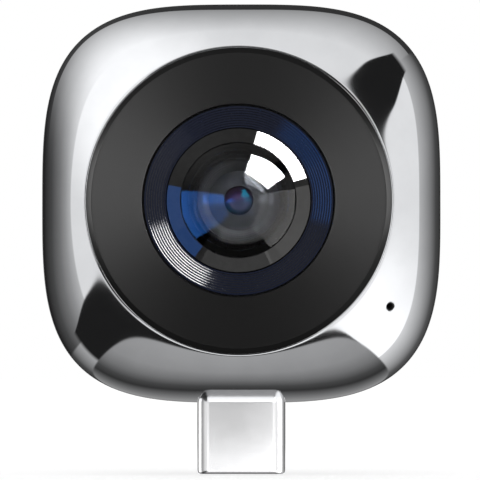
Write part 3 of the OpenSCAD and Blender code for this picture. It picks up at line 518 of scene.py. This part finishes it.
# the microphone's hole: a block of quads is taken out of the outer and inner faces, rings of quads lead from its
# border to a circle round the hole's axis, and a tube with a rounded mouth joins the two circles
def drillHole(points, faces, rows, starts, a, t, innerT):
    columns, span, wall = shell["columns"], hole["block"], shell["wall"]
    spot, normal, axes, angle, centreT = holeAxis()
    # where the hole's axis leaves the inner face
    tries = np.linspace(0.02, 1.5, 4000)
    off = wallPoint(angle, tries, wall) - spot
    innerCentre = tries[np.argmin(np.abs(off @ axes[0]))]
    middleColumn = int(round((angle % (2 * math.pi)) / (2 * math.pi / columns) - 0.5))
    keep = np.ones(len(faces), bool)
    extra, extraFaces, circles = [points], [faces], []
    total = len(points)
    # rows run outwards on the outer face and back on the inner one
    for name, grid, inset, centre, way in (("outer", t, 0, centreT, 1), ("inner", innerT, wall, innerCentre, -1)):
        middleRow = int(np.argmin(np.abs(grid[middleColumn] - centre)))
        corner = [(-span, -span), (span, -span), (span, span), (-span, span)]
        border = np.array([(c0 + (c1 - c0) * k // (2 * span), r0 + (r1 - r0) * k // (2 * span))
                           for (c0, r0), (c1, r1) in zip(corner, corner[1:] + corner[:1])
                           for k in range(2 * span)])
        borderColumn = (middleColumn + border[:, 0]) % columns
        borderRow = middleRow + way * border[:, 1]
        borderAt = np.stack([a[borderColumn], grid[borderColumn, borderRow]], 1)
        borderAt[:, 0] = angle + np.angle(np.exp(1j * (borderAt[:, 0] - angle)))
        here = wallPoint(borderAt[:, 0], borderAt[:, 1], inset)
        aim = np.arctan2((here - spot) @ axes[1], (here - spot) @ axes[0])
        mouth = hole["radius"] + (hole["round"] if name == "outer" else 0)
        ring = mouth * np.stack([np.cos(aim), np.sin(aim)], 1)
        circleAt = circleOnWall((angle, centre), inset, axes, spot, ring)
        share = np.linspace(0, 1, hole["rings"] + 1)[1:, None, None]
        between = wallPoint(*np.moveaxis(borderAt + (circleAt - borderAt) * share, -1, 0), inset)
        count = len(border)
        first = borderColumn * rows + starts[name] + borderRow
        ids = np.vstack([first, total + np.arange(hole["rings"] * count).reshape(-1, count)])
        extra.append(between.reshape(-1, 3))
        total += hole["rings"] * count
        here = np.arange(count)
        for upper, lower in zip(ids[:-1], ids[1:]):
            extraFaces.append(np.stack([upper[here], upper[here - 1], lower[here - 1], lower[here]], 1))
        circles.append((ids[-1], aim))
        faceColumn, faceRow = faces[:, 0] // rows, faces[:, 0] % rows - starts[name]
        offColumn = (faceColumn - middleColumn + columns // 2) % columns - columns // 2
        inside = (np.abs(offColumn + 0.5) < span) & (np.abs(faceRow - middleRow + 0.5) < span)
        keep &= ~inside
    # rounded mouth, then a straight tube down to the circle on the inner face
    aim = circles[0][1]
    turn = np.linspace(0, np.pi / 2, 5)[1:]
    radius = hole["radius"] + hole["round"] * (1 - np.sin(turn))
    depth = hole["round"] * (1 - np.cos(turn))
    mouthPoints = spot + (radius[:, None, None] * (np.cos(aim)[:, None] * axes[0] + np.sin(aim)[:, None] * axes[1])
                          - depth[:, None, None] * normal)
    count = len(aim)
    ids = np.vstack([circles[0][0], total + np.arange(len(turn) * count).reshape(-1, count), circles[1][0]])
    extra.append(mouthPoints.reshape(-1, 3))
    here = np.arange(count)
    for upper, lower in zip(ids[:-1], ids[1:]):
        extraFaces.append(np.stack([upper[here], upper[here - 1], lower[here - 1], lower[here]], 1))
    extraFaces[0] = faces[keep]
    return np.concatenate(extra), np.concatenate(extraFaces)


# a thin sleeve of the boot's dark rubber lines the hole, set back from its mouth: painted shade, put there so that the
# hole reads dark
shadeSleeve = {"out": 0.37, "in": 0.30, "from": 0.07, "to": 1.35, "steps": 48}


def makeShadeSleeve():
    spot, normal, axes = holeAxis()[:3]
    profile = softCorners([(shadeSleeve["out"], -shadeSleeve["from"], 0.02), (shadeSleeve["out"], -shadeSleeve["to"], 0.01),
                           (shadeSleeve["in"], -shadeSleeve["to"], 0.01), (shadeSleeve["in"], -shadeSleeve["from"], 0.03)])
    a = np.linspace(0, 2 * np.pi, shadeSleeve["steps"], endpoint=False)[:, None, None]
    across = np.cos(a) * axes[0] + np.sin(a) * axes[1]
    points = spot + across * profile[:, :1] + normal * profile[:, 1:]
    faces = gridFaces(shadeSleeve["steps"], len(profile))
    makePiece("mic_hole_sleeve", place("front", points), faces, looks["boot_rubber"])


for side in sides:
    makeShell(side)
# the dark sleeve in the microphone hole is painted shade
makeShadeSleeve()
print("shells made")

# lens plate: a shallow cone with a bevelled edge; the turned face is a fine ripple on the cone
plate = {
    "bevel": 0.5, "shoulder": 9.0, "edge": 8.6, "holeR": 8.85, "lip": 8.4, "wall": 0.8, "foot": 0.7,
    "pitch": 0.1,  # distance between the tool's turns
    "perTurn": 3,  # rows of the grid on a turn
    "ripple": 0.0045,  # height of a turn
    "edgeRound": 0.05,
}


def makePlate(side):
    outR, top, foot = plateHigh.x, -plateLow.y, -plateHigh.y
    soft = plate["edgeRound"]
    under = softCorners([
        (plate["holeR"], plate["lip"], 0), (plate["holeR"] + plate["wall"], plate["lip"], 0),
        (plate["holeR"] + plate["wall"], top - plate["wall"], 0),
        (outR - plate["foot"], plate["shoulder"] - plate["wall"], 0), (outR - plate["foot"], foot, 0),
        (outR, foot, 0), (outR, plate["edge"], soft), (outR - plate["bevel"], plate["shoulder"], soft),
    ])
    # height of the cone at radius r, with the ripple dying out at both edges
    low, high = plate["holeR"] + soft, outR - plate["bevel"] - soft
    r = np.linspace(high, low, int((high - low) / plate["pitch"] * plate["perTurn"]))
    slope = (top - plate["shoulder"]) / (outR - plate["bevel"] - plate["holeR"])
    cone = plate["shoulder"] + (outR - plate["bevel"] - r) * slope
    fade = np.clip(np.minimum(high - r, r - low) / plate["pitch"], 0, 1)
    face = np.stack([r, cone - plate["ripple"] * fade * (0.5 + 0.5 * np.cos(2 * np.pi * r / plate["pitch"]))], 1)
    holeEdge = np.array([[plate["holeR"], top - soft]])
    turned(side + "_turned_plate", side, np.concatenate([under, face, holeEdge]), looks["black_anodised"],
           side + "_plate", steps=256)


# groove ring: each tooth's face looks in at the lens, and a narrow slot parts it from the next tooth
groove = {"count": 9, "flat": 0.2, "slope": 23.0, "base": 9.28, "share": 0.40, "deep": 0.16, "round": 0.006,
          "gap": 0.03, "sealIn": 8.64, "sealOut": 9.2, "sealLow": 8.15, "sealHigh": 8.33}


def makeGrooves(side):
    inR, outR, bottom = retainerHigh.x + groove["gap"], grooveHigh.x, -grooveHigh.y
    pitch = (outR - inR) / (groove["count"] + groove["flat"])
    rise = pitch * groove["share"] * math.tan(math.radians(groove["slope"]))
    base, low, soft = groove["base"], groove["base"] - groove["deep"], groove["round"]
    corners = [(inR, bottom, 0.02), (outR, bottom, 0.02), (outR, base, 0.03)]
    for tooth in range(groove["count"] - 1, -1, -1):
        root = inR + tooth * pitch
        tip = root + pitch * groove["share"]
        corners += [(root + pitch, base, soft), (root + pitch, low, 0), (tip, low, 0), (tip, base + rise, soft)]
    corners.append((inR, base, soft))
    turned(side + "_grooves", side, softCorners(corners, 4), looks["black_satin"],
           side + "_groove_ring", steps=320, crease=25)
    # foam under the plate closes the gap round the ring, so that one can't look through the camera there
    seal = softCorners([(groove[r], groove[h], 0.03) for r, h in (
        ("sealIn", "sealLow"), ("sealOut", "sealLow"), ("sealOut", "sealHigh"), ("sealIn", "sealHigh"))])
    turned(side + "_gap_seal", side, seal, looks["foam_tape"], steps=160)


# lens sizes that the solids share: radius of a sphere through the edge, from its rise
lens = {
    "domeEdge": 9.65, "bowl": 4.2, "bowlMiddle": 7.989, "secondEdge": 7.788, "secondSeat": 7.288,
    "secondTip": 0.45, "secondBowl": 1.5, "secondBowlMiddle": 6.732, "showR": 5.25,
    "retainerFoot": 9.45, "retainerEdge": 9.55, "retainerGap": 0.06,
}


def sphereThrough(edgeR, edgeH, apex):
    rise = apex - edgeH
    curve = (edgeR ** 2 + rise ** 2) / (2 * rise)
    return apex - curve, curve


def makeLens(side):
    domeR, apex, seat = domeHigh.x, -domeLow.y, -domeHigh.y
    middle, curve = sphereThrough(domeR, lens["domeEdge"], apex)
    mouth = math.sqrt(lens["bowl"] ** 2 - (seat - lens["bowlMiddle"]) ** 2)
    edge = softCorners([(domeR, lens["domeEdge"], 0.04), (domeR, seat, 0.04), (mouth, seat, 0.03)])
    # the glass bulges as a parabola: it falls with the square of the radius, from the apex to the retaining ring
    r = np.linspace(0, domeR - 0.05, 60)
    fall = (apex - middle - math.sqrt(curve ** 2 - lens["showR"] ** 2)) / lens["showR"] ** 2
    outer = np.stack([r, np.maximum(apex - fall * r ** 2, lens["domeEdge"] + 0.01)], 1)
    inner = axisArc(lens["bowlMiddle"], lens["bowl"], mouth - 0.02, 0, 48)
    turned(side + "_dome_glass", side, np.concatenate([outer, edge, inner]), looks["lens_glass"],
           side + "_dome_lens", steps=224, solid=True)
    # retaining ring: a polished cone, its inner face set just off the dome
    top = middle + math.sqrt(curve ** 2 - lens["showR"] ** 2)
    ringR = retainerHigh.x
    ringFoot = math.sqrt((curve + lens["retainerGap"]) ** 2 - (lens["retainerFoot"] - middle) ** 2)
    ring = softCorners([
        (ringR, lens["retainerFoot"], 0.01), (ringR, lens["retainerEdge"], 0.03),
        (lens["showR"], -retainerLow.y, 0.035), (lens["showR"] + 0.02, top + 0.03, 0.01),
        (ringFoot, lens["retainerFoot"], 0.0)])
    turned(side + "_retainer", side, ring, looks["black_gloss"], side + "_retaining_ring", steps=320)
    # second lens, a smaller dome deep in the barrel
    secondR = secondHigh.x
    # its face is a hyperbola: it falls with the root of (r2 + tip2), so it is sharply curved only in the middle
    tip, secondApex = lens["secondTip"], -secondLow.y
    steep = (secondApex - lens["secondEdge"]) / (math.hypot(secondR, tip) - tip)
    r = np.linspace(0, secondR - 0.04, 40)
    secondFace = np.stack([r, secondApex - steep * (np.hypot(r, tip) - tip)], 1)
    secondMouth = math.sqrt(lens["secondBowl"] ** 2 - (lens["secondSeat"] - lens["secondBowlMiddle"]) ** 2)
    secondEdge = softCorners([(secondR, lens["secondEdge"], 0.03), (secondR, lens["secondSeat"], 0.03),
                              (secondMouth, lens["secondSeat"], 0.02)])
    second = np.concatenate([secondFace, secondEdge,
                             axisArc(lens["secondBowlMiddle"], lens["secondBowl"], secondMouth - 0.02, 0, 32)])
    turned(side + "_second_glass", side, second, looks["green_glass"], side + "_second_lens",
           steps=160, solid=True)
    makeBarrel(side, secondFace)


# barrel: the solid's stepped bore, with glare-stopping ribs on its cone, and the ring over the second lens
barrel = {
    "thread": 3.95, "headLow": 7.1, "cupR": 5.63, "bore": 2.48, "third": 1.88, "stop": 1.2, "rear": 2.38,
    "thirdSeat": 6.1, "rearSeat": 5.7, "ribs": 7, "ribDepth": 0.07,
    "maskIn": 1.28, "maskOut": 2.85, "maskTop": 8.82, "maskEdge": 8.2, "maskEnd": 0.1, "maskGap": 0.03,
}


def makeBarrel(side, secondFace):
    headR, top, low = barrelHigh.x, -barrelLow.y, -barrelHigh.y
    seat = -domeHigh.y
    mouth = math.sqrt(lens["bowl"] ** 2 - (seat - lens["bowlMiddle"]) ** 2)
    corners = [
        (barrel["rear"], low, 0), (barrel["thread"], low, 0), (barrel["thread"], barrel["headLow"], 0),
        (headR, barrel["headLow"], 0), (headR, top, 0), (barrel["cupR"], top, 0), (barrel["cupR"], seat, 0),
        (mouth, seat, 0.02)]
    for rib in np.linspace(0, 1, barrel["ribs"] + 1)[1:]:
        r = mouth + (barrel["bore"] - mouth) * rib
        h = seat + (lens["secondEdge"] - seat) * rib
        before = r + (mouth - barrel["bore"]) / barrel["ribs"]
        corners.append((before, h + barrel["ribDepth"] * (rib < 1), 0.01))
        corners.append((r, h, 0.01))
    corners += [
        (barrel["bore"], lens["secondSeat"], 0), (barrel["third"], lens["secondSeat"], 0),
        (barrel["third"], barrel["thirdSeat"], 0), (barrel["stop"], barrel["thirdSeat"], 0),
        (barrel["stop"], barrel["rearSeat"], 0), (barrel["rear"], barrel["rearSeat"], 0)]
    turned(side + "_ribbed_barrel", side, softCorners(corners, 3), looks["barrel_black"],
           side + "_barrel", steps=192)
    # ring that hides the second lens's edge: its underside follows the lens a hair above it
    r = secondFace[:, 0]
    covered = secondFace[(r > barrel["maskIn"]) & (r < secondHigh.x - barrel["maskEnd"])]
    under = covered[::-1] + [0, barrel["maskGap"]]
    ring = softCorners([(barrel["maskIn"], barrel["maskTop"], 0.04), (barrel["maskOut"], barrel["maskEdge"], 0.03),
                        (barrel["maskOut"] - 0.15, barrel["maskEdge"] - 0.2, 0.02)])
    turned(side + "_lens_mask", side, np.concatenate([ring, under]), looks["black_gloss"], steps=160)


for side in sides:
    makePlate(side)
    makeGrooves(side)
    makeLens(side)
print("lens pieces made")

# plug: an outline with round ends carried along a profile of (inset, height), closed round the wall
plug = {"wall": 0.3, "tip": 0.2, "tipLength": 0.4, "inside": 0.05, "arcSteps": 40}


def makePlug():
    radius, end = plugHigh.y, plugHigh.z
    half = plugHigh.x - radius
    turn = np.linspace(-np.pi / 2, np.pi / 2, plug["arcSteps"])
    way = np.stack([np.cos(turn), np.sin(turn)], 1)
    normals = np.concatenate([way, -way])
    middles = np.concatenate([np.tile([half, 0], (len(turn), 1)), np.tile([-half, 0], (len(turn), 1))])
    # quarter of an ellipse round the tip: inset falls as height rises
    quarter = np.linspace(0, np.pi / 2, 12)
    inset = plug["tip"] * (1 - np.sin(quarter))
    height = plug["tipLength"] * (1 - np.cos(quarter))
    wall, inside = plug["wall"], plug["inside"]
    profile = np.concatenate([
        np.stack([inset, height], 1), [[0, end * 0.4], [0, end], [wall, end], [wall, end * 0.4]],
        [[wall, inside * 2], [wall - inside * 0.3, inside * 0.6], [wall - inside, 0]]])
    xy = middles[:, None] + normals[:, None] * (radius - profile[:, 0])[None, :, None]
    points = np.concatenate([xy, np.broadcast_to(profile[:, 1], xy.shape[:2])[..., None]], 2) * mm
    makePiece("plug_sleeve", points, gridFaces(len(normals), len(profile)), looks["plug_nickel"],
              "plug_shell")


makePlug()
print("plug made")


# camera at the photograph's angle: slightly right of the lens axis and slightly below it
view = {"turn": 1.6, "rise": -1.5, "distance": 0.45, "width": 0.045, "look": (-0.00013, 0, 0.0219), "film": 36.0}
lookAt = Vector(view["look"])
turn, rise = math.radians(view["turn"]), math.radians(view["rise"])
back = Vector((math.sin(turn) * math.cos(rise), -math.cos(turn) * math.cos(rise), math.sin(rise)))
cameraData = bpy.data.cameras.new("camera")
cameraData.sensor_width = view["film"]
cameraData.lens = view["film"] * view["distance"] / view["width"]
cameraData.clip_start = 0.01
camera = bpy.data.objects.new("camera", cameraData)
camera.location = lookAt + back * view["distance"]
camera.rotation_euler = (-back).to_track_quat("-Z", "Y").to_euler()
scene.collection.objects.link(camera)
scene.camera = camera

# studio: tones of the surrounding panels by the angle from the lens axis, 0 in front and 1 behind
studio = {
    "level": 1.2,
    "even": 0.8,  # light on matt surfaces
    "gapLean": 37.5,  # degrees from the level to the dark gap between the panels
    "gap": (0.22, 0.10),  # half width of that gap against its length, in front and beside the object
    "floorEdge": (1.15, 0.07),  # the floor begins below this many times the distance aside, plus a little
    "inside": 0.03,  # light that comes back out through the glass
    "left": [(0, 0.72), (0.29, 0.70), (0.305, 0.45), (0.42, 0.28), (0.54, 0.16), (0.70, 0.06), (0.86, 0.017),
             (0.90, 0.008), (0.94, 0.08)],
    "right": [(0, 0.74), (0.52, 0.74), (0.53, 0.45), (0.83, 0.06), (0.92, 0.03), (1, 0.03)],
    "top": [(0, 0.72), (0.34, 0.69), (0.785, 0.27), (0.79, 0.03), (1, 0.03)],
    "floor": [(0, 0.33), (0.2, 0.30), (0.36, 0.265), (0.5, 0.17), (0.62, 0.06), (0.70, 0.03), (0.90, 0.25), (1, 0.2)],
    "corner": 0.45,  # extra light of the panels' bright corners
}


def makeWorld():
    world = bpy.data.worlds.new("studio")
    scene.world = world
    world.use_nodes = True
    tree = world.node_tree
    w = Wire(tree)
    x, y, z = w.add("ShaderNodeTexCoord", out="Generated").axes()
    polar = w.math("ARCCOSINE", y * -1) / math.pi
    x, z = x + back.x, z + back.z  # counted from the way a flat face sends the view
    lean = math.radians(studio["gapLean"])
    gapSide = z * math.cos(lean) - x * math.sin(lean)
    aside = w.math("ABSOLUTE", x)
    upper = w.math("MAXIMUM", z, 0.0)
    tones = {name: w.add("ShaderNodeValToRGB", {"stops": studio[name]}, {0: polar})
             for name in ("left", "right", "top", "floor")}
    corner = ((x * z * -2) / (x * x + z * z + 0.001)).ease(0.0, 1.0) * studio["corner"] + 1
    toTop = (upper / (aside + upper + 0.001)).ease(0.05, 0.6)
    leftTop = toTop.blend(tones["left"], tones["top"])
    panels = gapSide.ease(-0.01, 0.01).blend(tones["right"], leftTop)
    lit = w.add("ShaderNodeVectorMath", {"operation": "SCALE"}, {0: panels, "Scale": corner})
    # the gap's half width narrows towards the sides; below, it reaches down to the floor
    along = x * math.cos(lean) + z * math.sin(lean)
    wide, narrow = studio["gap"]
    half = wide - polar.ease(0.25, 0.65) * (wide - narrow)
    half = half * w.math("ABSOLUTE", along)
    farSide = w.math("ABSOLUTE", gapSide)
    off = gapSide + (farSide - gapSide) * along.ease(-0.01, 0.01)
    gap = (half - off).ease(-0.006, 0.006) * (1 - polar.ease(0.56, 0.62))
    lit = gap.blend(lit, grey(0.011))
    slope, start = studio["floorEdge"]
    low = (0 - z - aside * slope).ease(start - 0.015, start + 0.015)
    lit = low.blend(lit, tones["floor"])
    path = w.add("ShaderNodeLightPath").socket.node.outputs
    shown, through, glossy = (Wire(tree, path["Is " + kind + " Ray"]) for kind in ("Camera", "Transmission", "Glossy"))
    lit = w.add("ShaderNodeVectorMath", {"operation": "SCALE"}, {0: lit, "Scale": studio["level"]})
    colour = glossy.blend(grey(studio["even"]), lit)
    colour = through.blend(colour, grey(studio["inside"]))
    colour = shown.blend(colour, grey(1.0))
    tree.links.new(colour.socket, tree.nodes["Background"].inputs["Color"])


makeWorld()

# lamps that only the black and glass pieces take: place, aim and size in metres, light at its face
gathered = {"glass": ("dome_glass", "retainer", "second_glass", "lens_mask"), "grooves": ("grooves",),
            "lens": ("dome_glass", "retainer", "second_glass", "grooves"),
            "plate": ("turned_plate",), "plug": ("plug_sleeve",)}
lamps = {
    "softbox": {"at": (0.157, -0.092, 0.189), "across": (-0.81, -0.087, 0.586), "size": (0.237, 0.155),
                "glow": 250.0, "tint": (1, 1, 1), "onto": "glass"},
    "groove_box": {"at": (0.15, -0.208, 0.155), "across": (-0.72, 0, 0.69), "size": (0.19, 0.085),
                   "glow": 140.0, "tint": (1, 1, 1), "onto": "grooves"},
    "blue_panel": {"at": (-0.188, -0.074, -0.055), "across": (-0.37, 0.93, 0), "size": (0.36, 0.22),
                   "glow": 1.0, "tint": (0.6, 2.8, 10.0), "onto": "lens"},
    "navy_panel": {"at": (0.02, -0.27, -0.055), "across": (1, 0.3, 0), "size": (0.29, 0.22),
                   "glow": 1.0, "tint": (0.2, 0.4, 1.5), "onto": "lens"},
    "grey_panel": {"at": (0.216, -0.054, -0.09), "across": (0.25, 0.97, 0), "size": (0.30, 0.34),
                   "glow": 4.0, "tint": (1, 0.99, 0.98), "onto": "lens"},
    "low_panel": {"at": (0, -0.12, -0.27), "across": (1, 0, 0), "size": (0.34, 0.12),
                  "glow": 2.0, "tint": (1, 1, 1), "onto": "lens"},
    "left_strip": {"at": (-0.23, -0.19, 0.04), "across": (0.64, -0.77, 0), "size": (0.39, 0.18),
                   "glow": 18.0, "tint": (1, 1, 1), "onto": "plate"},
    "right_strip": {"at": (0.23, -0.19, 0.04), "across": (0.64, 0.77, 0), "size": (0.39, 0.18),
                    "glow": 19.0, "tint": (1, 1, 1), "onto": "plate"},
    "plug_panel": {"at": (0, -0.07, -0.042), "across": (1, 0, 0), "size": (0.08, 0.04),
                   "glow": 1.0, "tint": (1, 1, 1), "onto": "plug"},
    "plug_edge": {"at": (-0.2, 0.06, -0.02), "across": (0.3, 0.95, 0), "size": (0.16, 0.2),
                  "glow": 1.2, "tint": (1, 1, 1), "onto": "plug"},
}


# a rectangle of light that faces the object; the watts that give its face a glow are pi times glow times area
def makeLamp(side, name, setting):
    centre = Vector((0, 0, body["middle"] * mm))
    about = Matrix.Rotation(math.pi if side == "rear" else 0, 4, "Z")
    width, height = setting["size"]
    data = bpy.data.lights.new(side + "_" + name, "AREA")
    data.shape = "RECTANGLE"
    data.size, data.size_y = width, height
    data.energy = math.pi * setting["glow"] * width * height
    data.color = setting["tint"]
    lamp = bpy.data.objects.new(side + "_" + name, data)
    away = Vector(setting["at"]).normalized()
    across = Vector(setting["across"])
    across = (across - away * across.dot(away)).normalized()
    turn = Matrix((across, away.cross(across), away)).transposed()
    lamp.matrix_world = about @ Matrix.Translation(centre + Vector(setting["at"])) @ turn.to_4x4()
    scene.collection.objects.link(lamp)
    lamp.visible_diffuse = False  # seen in gloss only, so a colour stays as it is written
    lamp.light_linking.receiver_collection = bpy.data.collections[side + "_" + setting["onto"]]


for side in sides:
    for name, endings in gathered.items():
        group = bpy.data.collections.new(side + "_" + name)
        for piece in scene.objects:
            if piece.name.startswith((side, "plug")) and piece.name.endswith(endings):
                group.objects.link(piece)
    for name, setting in lamps.items():
        makeLamp(side, name, setting)

# floor: a pale sheet that keeps the shadow; from below it isn't there
floor = {"half": 3.0, "steps": 24, "own": 0.56, "tone": 0.62}


def makeFloor():
    line = np.linspace(-floor["half"], floor["half"], floor["steps"])
    points = np.stack(np.broadcast_arrays(line[:, None], line, -0.00002), 2)
    faces = gridFaces(floor["steps"], floor["steps"], False, False)
    mesh = bpy.data.meshes.new("floor")
    mesh.from_pydata(points.reshape(-1, 3).tolist(), [], faces.tolist())
    look = bpy.data.materials.new("pale_floor")
    look.use_nodes = True
    tree = look.node_tree
    shader = tree.nodes["Principled BSDF"]
    w = Wire(tree)
    cloud = w.noise(40.0, 3.0)
    tone = floor["tone"]
    tree.links.new(cloud.blend(grey(tone - 0.01), grey(tone + 0.01)).socket, shader.inputs["Base Color"])
    shader.inputs["Roughness"].default_value = 0.9
    shader.inputs["Specular IOR Level"].default_value = 0.0
    shader.inputs["Emission Color"].default_value = grey(1.0)
    shader.inputs["Emission Strength"].default_value = floor["own"]
    clear = w.add("ShaderNodeBsdfTransparent")
    under = w.add("ShaderNodeNewGeometry", out="Backfacing")
    seen = w.add("ShaderNodeMixShader", None, {0: under, 1: Wire(tree, shader.outputs[0]), 2: clear})
    tree.links.new(seen.socket, tree.nodes["Material Output"].inputs["Surface"])
    mesh.materials.append(look)
    ground = bpy.data.objects.new("floor", mesh)
    scene.collection.objects.link(ground)
    ground.visible_glossy = False
    ground.visible_shadow = False


makeFloor()
scene.view_settings.view_transform = "Standard"
print("studio made")
